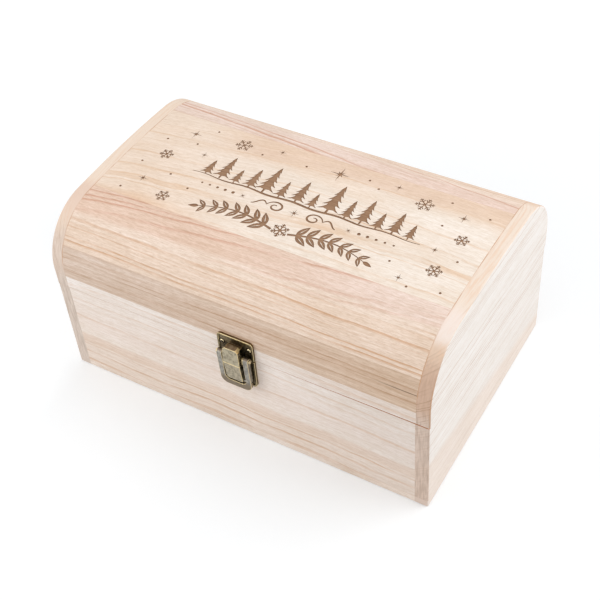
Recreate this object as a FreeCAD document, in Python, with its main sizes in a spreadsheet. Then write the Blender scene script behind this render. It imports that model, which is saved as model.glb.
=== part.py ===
import FreeCAD, Part
import math
import os
import Sketcher

# A keepsake box of pale wood with a domed lid, two back hinges and a bronze draw latch.
# Millimetres. +X runs along the box, -Y is the front, +Z is up.
# The origin is the middle of the underside.

# Driving dimensions: alias and value of each cell of the sheet
SIZES = {
    # Box: the length is over the lid's end boards
    "box_length": "300",
    "box_depth": "193",
    "box_height": "144.4",
    "base_height": "83.75",
    "parting_gap": "0.3",
    "lid_overhang": "0.5",
    "end_thickness": "10",
    "wall_thickness": "8",
    "bottom_thickness": "6.2",
    # Warp: the lid stands a little higher towards its right end
    "warp_rise": "0.6",
    "warp_length": "110",
    # Dome: straight sides, two round shoulders and a nearly flat crown
    "straight_height": "15",
    "crown_radius": "920",
    # Glue joints of the dome, from the parting line to the top panel's share of the crown
    "rail_height": "11",
    "stave_joint_angle": "29.7",
    "panel_front_share": "0.852",
    "panel_back_share": "0.957",
    # Softened edges of the boards
    "edge_round": "1.2",
    "foot_round": "0.8",
    # Nails and fits
    "nail_head_radius": "1.6",
    "nail_head_height": "0.9",
    "nail_radius": "0.6",
    "nail_length": "6",
    "fit_clearance": "0.02",
    "running_clearance": "0.06",
    # Latch plates: heights are measured from the middle of the parting gap
    "latch_offset": "6.2",
    "plate_width": "28.4",
    "plate_thickness": "1.2",
    "plate_setback": "0.7",
    "plate_corner": "3",
    "rim_width": "1.4",
    "rim_height": "0.8",
    "strike_height": "16.5",
    "mount_height": "25",
    "strike_nail_spread": "10.7",
    "strike_nail_rise": "9.5",
    "mount_nail_spread": "8",
    "mount_nail_drop": "21.5",
    "ledge_width": "10",
    "ledge_reach": "2.3",
    "ledge_thickness": "1.2",
    "ledge_rise": "10.5",
    # Latch lever: a U-shaped frame on two stub pins
    "lever_pin_radius": "0.8",
    "lever_pin_reach": "5.2",
    "lever_pin_rise": "3.1",
    "pin_head_rise": "0.6",
    "pin_head_thickness": "0.5",
    "ear_inside": "7",
    "ear_thickness": "1",
    "ear_radius": "1.7",
    "ear_root": "9.5",
    "side_clearance": "0.4",
    "lever_width": "25",
    "lever_length": "30",
    "lever_lean": "2.3",
    "lever_thickness": "2",
    "arm_flange": "1",
    "lug_radius": "2.2",
    "lever_corner": "5.5",
    "window_corner": "4",
    "window_floor": "3.4",
    # Latch hook: a bowed tongue on a pin across the lever
    "hook_pin_radius": "0.8",
    "hook_pin_drop": "21.4",
    "hook_pin_forward": "0.7",
    "hook_top_width": "12.2",
    "hook_ridge_width": "13.4",
    "hook_foot_width": "12.6",
    "hook_ridge_rise": "16.4",
    "hook_ridge_reach": "4",
    "hook_top_reach": "3.5",
    "hook_thickness": "2.7",
    "hook_block_depth": "3.1",
    "hook_foot_radius": "2.1",
    "hook_corner": "3.5",
    "hook_bevel": "1.9",
    "flange_thickness": "1.6",
    "catch_gap": "0.35",
    "catch_lift": "0.4",
    # Hinges: two leaves, three knuckles and cheeks that stop the lid
    "hinge_inset": "60",
    "leaf_width": "26",
    "leaf_height": "12",
    "leaf_thickness": "1",
    "leaf_corner": "2",
    "leaf_setback": "2.6",
    "barrel_radius": "2",
    "barrel_clearance": "0.3",
    "barrel_length": "20",
    "knuckle_gap": "0.3",
    "lid_knuckle_length": "7.4",
    "hinge_pin_radius": "1",
    "cheek_thickness": "1.2",
    "cheek_root": "6.4",
    "cheek_inner": "2.6",
    "cheek_outer": "7.5",
    "cheek_gap": "0.3",
    "lid_opening_angle": "100",
    "hinge_nail_spread": "8",
    "hinge_nail_rise": "9",
}

doc = FreeCAD.newDocument("keepsake_box")
sheet = doc.addObject("Spreadsheet::Sheet", "Sizes")
for row, (alias, number) in enumerate(SIZES.items(), start=1):
    sheet.set(f"A{row}", alias)
    sheet.set(f"B{row}", number)
    sheet.setAlias(f"B{row}", alias)
doc.recompute()

# Places worked out from the driving dimensions, as expressions
LID_BOTTOM = "(Sizes.base_height + Sizes.parting_gap)"
PARTING = "(Sizes.base_height + Sizes.parting_gap / 2)"
FRONT = "(-Sizes.box_depth / 2)"
BACK = "(Sizes.box_depth / 2)"
LID_HALF = "(Sizes.box_length / 2)"
LID_INSIDE = f"({LID_HALF} - Sizes.end_thickness)"
BASE_HALF = f"({LID_HALF} - Sizes.lid_overhang)"
BASE_INSIDE = f"({BASE_HALF} - Sizes.end_thickness)"
WALL_INSIDE = f"({BACK} - Sizes.wall_thickness)"
RAIL_TOP = f"({LID_BOTTOM} + Sizes.rail_height)"

# A shoulder starts upright at the top of the straight side and runs smoothly into the crown,
# which fixes its radius.
SHOULDER_Z = f"({LID_BOTTOM} + Sizes.straight_height)"
CROWN_Z = "(Sizes.box_height - Sizes.crown_radius)"
CENTRE_RISE = f"({SHOULDER_Z} - {CROWN_Z})"
CROWN_ACROSS = "(Sizes.crown_radius ^ 2 - (Sizes.box_depth / 2) ^ 2)"
SHOULDER_RADIUS = f"(({CROWN_ACROSS} - {CENTRE_RISE} ^ 2) / (2 * Sizes.crown_radius - Sizes.box_depth))"
SHOULDER_Y = f"(Sizes.box_depth / 2 - {SHOULDER_RADIUS})"
TANGENT_ANGLE = f"atan({SHOULDER_Y} / {CENTRE_RISE})"
SHOULDER_INSIDE = f"({SHOULDER_RADIUS} - Sizes.wall_thickness)"
CROWN_RADIUS = "Sizes.crown_radius"
CROWN_INSIDE = "(Sizes.crown_radius - Sizes.wall_thickness)"
JOINT_ANGLE = "(Sizes.stave_joint_angle * 1 deg)"

LEVER_LEAN = "(Sizes.lever_lean * 1 deg)"
LEVER_HALF = "(Sizes.lever_width / 2)"
ARM_INSIDE = "(Sizes.ear_inside + Sizes.ear_thickness + Sizes.side_clearance)"
LEVER_PIN_Y = f"({FRONT} - Sizes.lever_pin_reach)"
LEVER_PIN_Z = f"({PARTING} + Sizes.lever_pin_rise)"
HOOK_PIN_IN = f"(Sizes.hook_pin_drop * sin({LEVER_LEAN}) - Sizes.hook_pin_forward * cos({LEVER_LEAN}))"
HOOK_PIN_DOWN = f"(Sizes.hook_pin_drop * cos({LEVER_LEAN}) + Sizes.hook_pin_forward * sin({LEVER_LEAN}))"
HOOK_PIN_Y = f"({LEVER_PIN_Y} + {HOOK_PIN_IN})"
HOOK_PIN_Z = f"({LEVER_PIN_Z} - {HOOK_PIN_DOWN})"

HINGE_AXIS_OUT = "(Sizes.barrel_radius + Sizes.barrel_clearance)"
HINGE_X = f"({LID_HALF} - Sizes.hinge_inset)"
HINGE_Y = f"({BACK} + {HINGE_AXIS_OUT})"
CHEEK_INSIDE = "(Sizes.barrel_length / 2 + Sizes.knuckle_gap * 2)"
CHEEK_ANGLE = "((180 - Sizes.lid_opening_angle) / 2 * 1 deg)"

PLANE_ROLES = {"front": "XZ_Plane", "side": "YZ_Plane", "plan": "XY_Plane"}
START, END, CENTRE = range(1, 4)
ORIGIN = (-1, START)

nodes = {}


def number(expression):
    """Value of an expression at the present sizes."""
    result = sheet.evalExpression(expression)
    return float(getattr(result, "Value", result))


def new_body(label, x="0", y="0", z="0"):
    """A body with its own label, placed by three expressions."""
    body = doc.addObject("PartDesign::Body", label)
    body.Label = label
    for axis, expression in zip("xyz", (x, y, z)):
        body.setExpression(f"Placement.Base.{axis}", expression)
    nodes[label] = body
    return body


def new_sketch(body, name, view, offset):
    """A sketch on one of the body's own planes, moved along that plane's normal."""
    role = PLANE_ROLES[view]
    plane = next(item for item in body.Origin.OriginFeatures if item.Role == role)
    sketch = body.newObject("Sketcher::SketchObject", name)
    sketch.AttachmentSupport = [(plane, "")]
    sketch.MapMode = "FlatFace"
    sketch.setExpression("AttachmentOffset.Base.z", offset)
    return sketch


def bind(sketch, kind, elements, expression):
    """One dimension of a sketch, bound to an expression."""
    index = sketch.addConstraint(Sketcher.Constraint(kind, *elements, number(expression)))
    sketch.renameConstraint(index, f"size{index}")
    sketch.setExpression(f"Constraints.size{index}", expression)


def arc_between(start, end, radius, turn):
    """Arc shorter than a half circle from start to end; turn is 1 to the left and -1 to the right."""
    chord = end - start
    rise = math.sqrt(radius ** 2 - (chord.Length / 2) ** 2)
    left = FreeCAD.Vector(-chord.y, chord.x, 0).normalize()
    centre = (start + end) / 2 + left * (rise * turn)
    first, last = (start, end) if turn > 0 else (end, start)
    angles = [math.atan2(point.y - centre.y, point.x - centre.x) for point in (first, last)]
    if angles[1] < angles[0]:
        angles[1] += 2 * math.pi
    circle = Part.Circle(centre, FreeCAD.Vector(0, 0, 1), radius)
    return Part.ArcOfCircle(circle, *angles)


def add_loop(sketch, corners):
    """Closed outline. A corner is (across, up) or (across, up, radius, turn) where an arc follows it."""
    count = len(corners)
    points = [FreeCAD.Vector(number(corner[0]), number(corner[1]), 0) for corner in corners]
    first = sketch.GeometryCount
    ends = []
    for index, corner in enumerate(corners):
        start, end = points[index], points[(index + 1) % count]
        if len(corner) == 2:
            sketch.addGeometry(Part.LineSegment(start, end), False)
            ends.append((START, END))
        else:
            radius, turn = corner[2:]
            sketch.addGeometry(arc_between(start, end, number(radius), turn), False)
            ends.append((START, END) if turn > 0 else (END, START))
    for index, corner in enumerate(corners):
        after = (index + 1) % count
        joint = (first + index, ends[index][1], first + after, ends[after][0])
        sketch.addConstraint(Sketcher.Constraint("Coincident", *joint))
        vertex = (first + index, ends[index][0])
        bind(sketch, "DistanceX", (*ORIGIN, *vertex), corner[0])
        bind(sketch, "DistanceY", (*ORIGIN, *vertex), corner[1])
        if len(corner) > 2:
            bind(sketch, "Radius", (first + index,), corner[2])


def add_circle(sketch, across, up, radius):
    """Circle about a point of the sketch."""
    centre = FreeCAD.Vector(number(across), number(up), 0)
    circle = Part.Circle(centre, FreeCAD.Vector(0, 0, 1), number(radius))
    index = sketch.addGeometry(circle, False)
    bind(sketch, "DistanceX", (*ORIGIN, index, CENTRE), across)
    bind(sketch, "DistanceY", (*ORIGIN, index, CENTRE), up)
    bind(sketch, "Radius", (index,), radius)


def rectangle(left, right, bottom, top):
    """Corners of a rectangle, anticlockwise."""
    return [(left, bottom), (right, bottom), (right, top), (left, top)]


def pad(body, name, view, offset, loops, length):
    """Material between an outline and a depth along the plane's normal."""
    sketch = new_sketch(body, f"{name}_outline", view, offset)
    for loop in loops:
        add_loop(sketch, loop)
    return finish_pad(body, name, sketch, length)


def finish_pad(body, name, sketch, length):
    feature = body.newObject("PartDesign::Pad", name)
    feature.Profile = sketch
    feature.setExpression("Length", length)
    return feature


def pad_circle(body, name, view, offset, circle, length):
    """A round boss: circle is (across, up, radius)."""
    sketch = new_sketch(body, f"{name}_outline", view, offset)
    add_circle(sketch, *circle)
    return finish_pad(body, name, sketch, length)


def through_holes(body, name, view, circles):
    """Round holes right through the body, along the plane's normal."""
    sketch = new_sketch(body, f"{name}_outline", view, "0")
    for circle in circles:
        add_circle(sketch, *circle)
    return through_cut(body, name, sketch)


def through_cut(body, name, sketch):
    feature = body.newObject("PartDesign::Pocket", name)
    feature.Profile = sketch
    feature.Type = "ThroughAll"
    feature.SideType = "Symmetric"
    return feature


def round_edges(body, name, radius, chosen):
    """Round the edges of the body's last feature for which the test holds."""
    doc.recompute()
    base = body.Tip
    names = [f"Edge{i}" for i, edge in enumerate(base.Shape.Edges, start=1) if chosen(edge.BoundBox)]
    feature = body.newObject("PartDesign::Fillet", name)
    feature.Base = (base, names)
    feature.setExpression("Radius", radius)


def near(first, second):
    return abs(first - second) < 0.001


def on_face(box, x):
    """Whether an edge lies in the upright face at x."""
    return near(box.XMin, x) and near(box.XMax, x)


# Wood of the base

def board(label, left, right, front, back, bottom, top):
    """An upright board between three pairs of places."""
    body = new_body(label)
    pad(body, f"{label}_pad", "plan", bottom, [rectangle(left, right, front, back)], f"{top} - {bottom}")
    return body


def nail_holes(body, outward, places):
    """Pilot holes for nails in a board's outer face; outward is -1 at the front and 1 at the back."""
    depth = "Sizes.nail_length"
    radius = "Sizes.nail_radius + Sizes.fit_clearance"
    face = FRONT if outward < 0 else BACK
    sketch = new_sketch(body, f"{body.Label}_nail_outline", "front", f"-{face}")
    for across, up in places:
        add_circle(sketch, across, up, radius)
    feature = body.newObject("PartDesign::Pocket", f"{body.Label}_nail_holes")
    feature.Profile = sketch
    feature.Reversed = outward > 0
    feature.setExpression("Length", depth)


def strike_nail_places():
    up = f"{PARTING} + Sizes.strike_nail_rise"
    return [(f"Sizes.latch_offset + {side} * Sizes.strike_nail_spread", up) for side in (-1, 1)]


def mount_nail_places():
    up = f"{PARTING} - Sizes.mount_nail_drop"
    return [(f"Sizes.latch_offset + {side} * Sizes.mount_nail_spread", up) for side in (-1, 1)]


def hinge_nail_places(direction):
    """Nails of both hinges; direction is 1 in the lid and -1 in the base."""
    up = f"{PARTING} + {direction} * Sizes.hinge_nail_rise"
    places = []
    for hinge in (-1, 1):
        for side in (-1, 1):
            across = f"{hinge} * {HINGE_X} + {side} * Sizes.hinge_nail_spread"
            places.append((across, up))
    return places


def make_base():
    floor = "Sizes.bottom_thickness"
    top = "Sizes.base_height"
    bottom = board("bottom_board", f"-{BASE_HALF}", BASE_HALF, FRONT, BACK, "0", floor)
    round_edges(bottom, "corner_rounds", "Sizes.edge_round",
                lambda box: box.ZLength > number(floor) / 2)
    round_edges(bottom, "foot_rounds", "Sizes.foot_round",
                lambda box: near(box.ZMax, 0))
    front = board("base_front_board", f"-{BASE_INSIDE}", BASE_INSIDE, FRONT, f"-{WALL_INSIDE}", floor, top)
    nail_holes(front, -1, mount_nail_places())
    back = board("base_back_board", f"-{BASE_INSIDE}", BASE_INSIDE, WALL_INSIDE, BACK, floor, top)
    nail_holes(back, 1, hinge_nail_places(-1))
    left = board("base_left_end", f"-{BASE_HALF}", f"-{BASE_INSIDE}", FRONT, BACK, floor, top)
    right = board("base_right_end", BASE_INSIDE, BASE_HALF, FRONT, BACK, floor, top)
    for body, side in ((left, -1), (right, 1)):
        outer = side * number(BASE_HALF)
        round_edges(body, f"{body.Label}_rounds", "Sizes.edge_round",
                    lambda box: on_face(box, outer) and not near(box.ZLength, 0))


# Wood of the lid

def dome_outline():
    """Outline of a lid end: straight sides, round shoulders and the crown."""
    return [
        (FRONT, LID_BOTTOM),
        (BACK, LID_BOTTOM),
        (BACK, SHOULDER_Z, SHOULDER_RADIUS, 1),
        (*crown_point(1, CROWN_RADIUS, TANGENT_ANGLE), CROWN_RADIUS, 1),
        (*crown_point(-1, CROWN_RADIUS, TANGENT_ANGLE), SHOULDER_RADIUS, 1),
        (FRONT, SHOULDER_Z),
    ]


def trim_underside(body):
    """Plane the underside of a lid board to a slope where the lid stands higher."""
    start = f"{LID_HALF} - Sizes.warp_length"
    wedge = [(start, LID_BOTTOM), (LID_HALF, LID_BOTTOM), (LID_HALF, f"{LID_BOTTOM} + Sizes.warp_rise")]
    sketch = new_sketch(body, f"{body.Label}_slope_outline", "front", "0")
    add_loop(sketch, wedge)
    through_cut(body, f"{body.Label}_slope", sketch)


def lid_end(label, side):
    body = new_body(label)
    start = LID_INSIDE if side > 0 else f"-{LID_HALF}"
    pad(body, f"{label}_pad", "side", start, [dome_outline()], "Sizes.end_thickness")
    outer = side * number(LID_HALF)
    lowest = number(LID_BOTTOM)
    round_edges(body, f"{label}_rounds", "Sizes.edge_round",
                lambda box: on_face(box, outer) and not near(box.ZMax, lowest))
    if side > 0:
        trim_underside(body)


def shoulder_point(side, radius, angle):
    """Point of a shoulder's curve; side is -1 at the front and 1 at the back."""
    return (f"{side} * ({SHOULDER_Y} + {radius} * cos({angle}))", f"{SHOULDER_Z} + {radius} * sin({angle})")


def crown_point(side, radius, angle):
    """Point of the crown's curve, by its angle from the middle."""
    return (f"{side} * {radius} * sin({angle})", f"{CROWN_Z} + {radius} * cos({angle})")


def lid_strip(label, outline):
    """A length of moulding between the lid's ends."""
    body = new_body(label)
    pad(body, f"{label}_pad", "side", f"-{LID_INSIDE}", [outline], f"2 * {LID_INSIDE}")
    return body


def stave_outline(side):
    """From the rail, up the straight side and round to the stave joint."""
    outer_y = f"{side} * {BACK}"
    inner_y = f"{side} * {WALL_INSIDE}"
    return [
        (outer_y, RAIL_TOP),
        (outer_y, SHOULDER_Z, SHOULDER_RADIUS, side),
        shoulder_point(side, SHOULDER_RADIUS, JOINT_ANGLE),
        (*shoulder_point(side, SHOULDER_INSIDE, JOINT_ANGLE), SHOULDER_INSIDE, -side),
        (inner_y, SHOULDER_Z),
        (inner_y, RAIL_TOP),
    ]


def shoulder_outline(side, panel_angle):
    """From the stave joint over the shoulder to the edge of the top panel."""
    return [
        (*shoulder_point(side, SHOULDER_RADIUS, JOINT_ANGLE), SHOULDER_RADIUS, side),
        (*crown_point(side, CROWN_RADIUS, TANGENT_ANGLE), CROWN_RADIUS, side),
        crown_point(side, CROWN_RADIUS, panel_angle),
        (*crown_point(side, CROWN_INSIDE, panel_angle), CROWN_INSIDE, -side),
        (*crown_point(side, CROWN_INSIDE, TANGENT_ANGLE), SHOULDER_INSIDE, -side),
        shoulder_point(side, SHOULDER_INSIDE, JOINT_ANGLE),
    ]


def panel_outline(front_angle, back_angle):
    """The top panel, between its two joints on the crown."""
    return [
        (*crown_point(1, CROWN_RADIUS, back_angle), CROWN_RADIUS, 1),
        crown_point(-1, CROWN_RADIUS, front_angle),
        (*crown_point(-1, CROWN_INSIDE, front_angle), CROWN_INSIDE, -1),
        crown_point(1, CROWN_INSIDE, back_angle),
    ]


def lid_rail(label, side, places):
    """A straight rail between the parting line and the stave, with pilot holes for nails."""
    body = lid_strip(label, rectangle(f"{side} * {BACK}", f"{side} * {WALL_INSIDE}", LID_BOTTOM, RAIL_TOP))
    nail_holes(body, side, places)
    trim_underside(body)


def make_lid():
    lid_end("lid_left_end", -1)
    lid_end("lid_right_end", 1)
    front_angle = f"(Sizes.panel_front_share * {TANGENT_ANGLE})"
    back_angle = f"(Sizes.panel_back_share * {TANGENT_ANGLE})"
    panel_angles = {-1: front_angle, 1: back_angle}
    nail_places = {-1: strike_nail_places(), 1: hinge_nail_places(1)}
    for name, side in (("front", -1), ("back", 1)):
        lid_rail(f"lid_{name}_rail", side, nail_places[side])
        lid_strip(f"lid_{name}_stave", stave_outline(side))
        lid_strip(f"lid_{name}_shoulder", shoulder_outline(side, panel_angles[side]))
    lid_strip("lid_top_panel", panel_outline(front_angle, back_angle))


# Nails and pins

def nail(name, across, up, face, outward):
    """A nail with a domed head on a face; outward is -1 at the front and 1 at the back."""
    turn = FreeCAD.Rotation(FreeCAD.Vector(1, 0, 0), -90 * outward)
    head = doc.addObject("Part::Ellipsoid", f"{name}_head")
    head.Angle1 = 0
    head.Angle2 = 90
    head.setExpression("Radius1", "Sizes.nail_head_height")
    head.setExpression("Radius2", "Sizes.nail_head_radius")
    head.setExpression("Radius3", "Sizes.nail_head_radius")
    shank = doc.addObject("Part::Cylinder", f"{name}_shank")
    shank.setExpression("Radius", "Sizes.nail_radius")
    shank.setExpression("Height", "Sizes.nail_length")
    depths = {head: face, shank: f"{face} - {outward} * Sizes.nail_length"}
    for solid, depth in depths.items():
        solid.Placement = FreeCAD.Placement(FreeCAD.Vector(), turn)
        solid.setExpression("Placement.Base.x", across)
        solid.setExpression("Placement.Base.y", depth)
        solid.setExpression("Placement.Base.z", up)
    return fused(name, [head, shank])


def fused(name, solids):
    fuse = doc.addObject("Part::MultiFuse", name)
    fuse.Shapes = solids
    return fuse


def group(label, solids):
    """Several like pieces under one label."""
    compound = doc.addObject("Part::Compound", label)
    compound.Label = label
    compound.Links = solids
    nodes[label] = compound


def nail_group(label, places, thickness, outward):
    """Nails through a plate that lies on the front or the back."""
    face = FRONT if outward < 0 else BACK
    seat = f"({face} + {outward} * {thickness})"
    nails = []
    for index, (across, up) in enumerate(places):
        nails.append(nail(f"{label}_{index}", across, up, seat, outward))
    group(label, nails)


def rod(name, start, y, z, radius, length):
    """A round rod along X from its start."""
    cylinder = doc.addObject("Part::Cylinder", name)
    cylinder.setExpression("Radius", radius)
    cylinder.setExpression("Height", length)
    turn = FreeCAD.Rotation(FreeCAD.Vector(0, 1, 0), 90)
    cylinder.Placement = FreeCAD.Placement(FreeCAD.Vector(), turn)
    for axis, expression in zip("xyz", (start, y, z)):
        cylinder.setExpression(f"Placement.Base.{axis}", expression)
    return cylinder


def make_nails():
    plate = "Sizes.plate_thickness"
    leaf = "Sizes.leaf_thickness"
    nail_group("latch_strike_nails", strike_nail_places(), plate, -1)
    nail_group("latch_mount_nails", mount_nail_places(), plate, -1)
    nail_group("hinge_lid_nails", hinge_nail_places(1), leaf, 1)
    nail_group("hinge_base_nails", hinge_nail_places(-1), leaf, 1)


# Latch: its pieces are drawn about the parting line at the latch's middle

def plate_outlines(direction, height):
    """Outline of a latch plate and of its raised rim, which is open at the parting line."""
    half = "Sizes.plate_width / 2"
    corner = "Sizes.plate_corner"
    inner_corner = "(Sizes.plate_corner - Sizes.rim_width)"
    rim = "Sizes.rim_width"
    start = f"{direction} * Sizes.plate_setback"
    end = f"{direction} * (Sizes.plate_setback + {height})"
    bend = f"{direction} * (Sizes.plate_setback + {height} - {corner})"
    rim_end = f"{direction} * (Sizes.plate_setback + {height} - {rim})"
    outer = [
        (half, start),
        (half, bend, corner, direction),
        (f"{half} - {corner}", end),
        (f"{corner} - {half}", end, corner, direction),
        (f"-{half}", bend),
        (f"-{half}", start),
    ]
    inner = [
        (f"{rim} - {half}", start),
        (f"{rim} - {half}", bend, inner_corner, -direction),
        (f"{corner} - {half}", rim_end),
        (f"{half} - {corner}", rim_end, inner_corner, -direction),
        (f"{half} - {rim}", bend),
        (f"{half} - {rim}", start),
    ]
    return outer, outer + inner


def latch_plate(label, direction, height, nail_spread, nail_up):
    """A plate with a raised rim and two nail holes; direction is 1 on the lid and -1 on the base."""
    body = new_body(label, "Sizes.latch_offset", FRONT, PARTING)
    field, rim = plate_outlines(direction, height)
    pad(body, f"{label}_field", "front", "0", [field], "Sizes.plate_thickness")
    pad(body, f"{label}_rim", "front", "Sizes.plate_thickness", [rim], "Sizes.rim_height")
    radius = "Sizes.nail_radius + Sizes.fit_clearance"
    circles = [(f"{side} * {nail_spread}", nail_up, radius) for side in (-1, 1)]
    through_holes(body, f"{label}_nail_holes", "front", circles)
    return body


def make_strike_plate():
    body = latch_plate("latch_strike_plate", 1, "Sizes.strike_height",
                       "Sizes.strike_nail_spread", "Sizes.strike_nail_rise")
    half = "Sizes.ledge_width / 2"
    ledge = rectangle(f"-{half}", half, "Sizes.ledge_rise - Sizes.ledge_thickness", "Sizes.ledge_rise")
    pad(body, "catch_ledge", "front", "Sizes.plate_thickness", [ledge], "Sizes.ledge_reach")


def make_mount_plate():
    body = latch_plate("latch_mount_plate", -1, "Sizes.mount_height",
                       "Sizes.mount_nail_spread", "-Sizes.mount_nail_drop")
    pin_y = "-Sizes.lever_pin_reach"
    pin_z = "Sizes.lever_pin_rise"
    radius = "Sizes.ear_radius"
    seat = "-Sizes.plate_thickness / 2"
    top = "-(Sizes.plate_setback + Sizes.side_clearance)"
    ear = [
        (seat, f"{top} - Sizes.ear_root"),
        (seat, top),
        (f"{pin_y} + {radius}", pin_z, radius, 1),
        (pin_y, f"{pin_z} + {radius}", radius, 1),
        (f"{pin_y} - {radius}", pin_z),
        (f"{pin_y} - {radius}", f"{pin_z} - 2 * {radius}"),
    ]
    starts = {"left": "-(Sizes.ear_inside + Sizes.ear_thickness)", "right": "Sizes.ear_inside"}
    for side, start in starts.items():
        pad(body, f"{side}_ear", "side", start, [ear], "Sizes.ear_thickness")
    hole = (pin_y, pin_z, "Sizes.lever_pin_radius + Sizes.fit_clearance")
    through_holes(body, "ear_pin_holes", "side", [hole])


def make_lever():
    """The U-shaped frame, drawn about its pivot and leaned towards the box at its foot."""
    body = new_body("latch_lever", "Sizes.latch_offset", LEVER_PIN_Y, LEVER_PIN_Z)
    body.Placement = FreeCAD.Placement(FreeCAD.Vector(), FreeCAD.Rotation(FreeCAD.Vector(1, 0, 0), 1))
    body.setExpression("Placement.Rotation.Angle", LEVER_LEAN)
    half, inside = LEVER_HALF, ARM_INSIDE
    corner, bend = "Sizes.lever_corner", "Sizes.window_corner"
    foot = "-Sizes.lever_length"
    floor = "-(Sizes.hook_pin_drop + Sizes.window_floor)"
    frame = [
        (f"-{half}", "0"),
        (f"-{half}", f"{foot} + {corner}", corner, 1),
        (f"{corner} - {half}", foot),
        (f"{half} - {corner}", foot, corner, 1),
        (half, f"{foot} + {corner}"),
        (half, "0"),
        (inside, "0"),
        (inside, f"{floor} + {bend}", bend, -1),
        (f"{inside} - {bend}", floor),
        (f"{bend} - {inside}", floor, bend, -1),
        (f"-{inside}", f"{floor} + {bend}"),
        (f"-{inside}", "0"),
    ]
    plate_back = "Sizes.lug_radius - Sizes.lever_thickness"
    pad(body, "lever_frame", "front", plate_back, [frame], "Sizes.lever_thickness")
    arms = {"left": (f"-{half}", f"-{inside}"), "right": (inside, half)}
    flange_back = f"{plate_back} - Sizes.arm_flange"
    width = f"{half} - {inside}"
    for side, (start, end) in arms.items():
        arm = rectangle(start, end, f"{floor} + {bend}", "0")
        pad(body, f"{side}_flange", "front", flange_back, [arm], "Sizes.arm_flange")
        pad_circle(body, f"{side}_lug", "side", start, ("0", "0", "Sizes.lug_radius"), width)
    pivot = ("0", "0", "Sizes.lever_pin_radius + Sizes.running_clearance")
    cross = ("-Sizes.hook_pin_forward", "-Sizes.hook_pin_drop", "Sizes.hook_pin_radius + Sizes.fit_clearance")
    through_holes(body, "lever_pin_holes", "side", [pivot, cross])


def make_hook():
    """The bowed tongue, drawn about its pin; its top flange reaches over the catch ledge."""
    body = new_body("latch_hook", "Sizes.latch_offset", HOOK_PIN_Y, HOOK_PIN_Z)
    ledge_top = f"({PARTING} + Sizes.ledge_rise - {HOOK_PIN_Z})"
    under = f"({ledge_top} + Sizes.catch_lift)"
    top = f"({under} + Sizes.flange_thickness)"
    ledge_front = f"({FRONT} - Sizes.plate_thickness - Sizes.ledge_reach - {HOOK_PIN_Y})"
    tip = f"({ledge_front} - Sizes.catch_gap)"
    ridge = "Sizes.hook_ridge_rise"
    foot = "Sizes.hook_foot_radius"
    block_back = "Sizes.hook_block_depth - Sizes.hook_top_reach"
    profile = [
        ("-Sizes.hook_top_reach", top),
        ("-Sizes.hook_ridge_reach", ridge),
        (f"-{foot}", "0", foot, 1),
        ("0", f"-{foot}", foot, 1),
        (foot, "0"),
        ("Sizes.hook_thickness - Sizes.hook_ridge_reach", f"{ridge} - {foot}"),
        (block_back, f"{ridge} + {foot}"),
        (block_back, under),
        (tip, under),
        (tip, top),
    ]
    half_ridge = "Sizes.hook_ridge_width / 2"
    pad(body, "tongue", "side", f"-{half_ridge}", [profile], "Sizes.hook_ridge_width")
    half_top = "Sizes.hook_top_width / 2"
    half_foot = "Sizes.hook_foot_width / 2"
    corner, bevel = "Sizes.hook_corner", "Sizes.hook_bevel"
    low = f"-({foot} + Sizes.side_clearance)"
    front = [
        (f"{corner} - {half_foot}", low),
        (f"{half_foot} - {corner}", low, corner, 1),
        (half_foot, f"{low} + {corner}"),
        (half_ridge, ridge),
        (half_top, f"{top} - {bevel}"),
        (f"{half_top} - {bevel} - {foot}", f"{top} + {foot}"),
        (f"{bevel} + {foot} - {half_top}", f"{top} + {foot}"),
        (f"-{half_top}", f"{top} - {bevel}"),
        (f"-{half_ridge}", ridge),
        (f"-{half_foot}", f"{low} + {corner}", corner, 1),
    ]
    width = "Sizes.hook_ridge_width"
    around = rectangle(f"-{width}", width, f"{low} - {foot}", f"{top} + 2 * {foot}")
    sketch = new_sketch(body, "tongue_sides_outline", "front", "0")
    add_loop(sketch, around)
    add_loop(sketch, front)
    through_cut(body, "tongue_sides", sketch)
    hole = ("0", "0", "Sizes.hook_pin_radius + Sizes.running_clearance")
    through_holes(body, "hook_pin_hole", "side", [hole])


def make_latch_pins():
    radius = "Sizes.lever_pin_radius"
    head_radius = f"{radius} + Sizes.pin_head_rise"
    inner = "(Sizes.ear_inside - Sizes.side_clearance)"
    outer = f"({LEVER_HALF} + Sizes.side_clearance)"
    head = "Sizes.pin_head_thickness"
    starts = {
        "left": (f"Sizes.latch_offset - {outer}", f"Sizes.latch_offset - {outer} - {head}"),
        "right": (f"Sizes.latch_offset + {inner}", f"Sizes.latch_offset + {outer}"),
    }
    pins = []
    for side, (shank_start, head_start) in starts.items():
        name = f"lever_pin_{side}"
        shank = rod(f"{name}_shank", shank_start, LEVER_PIN_Y, LEVER_PIN_Z, radius, f"{outer} - {inner}")
        cap = rod(f"{name}_cap", head_start, LEVER_PIN_Y, LEVER_PIN_Z, head_radius, head)
        pins.append(fused(name, [shank, cap]))
    group("latch_lever_pins", pins)
    pin_half = f"({LEVER_HALF} - Sizes.side_clearance)"
    start = f"Sizes.latch_offset - {pin_half}"
    pin = rod("latch_hook_pin", start, HOOK_PIN_Y, HOOK_PIN_Z, "Sizes.hook_pin_radius", f"2 * {pin_half}")
    pin.Label = "latch_hook_pin"
    nodes["latch_hook_pin"] = pin


# Hinges: each is drawn about its own pivot

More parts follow.
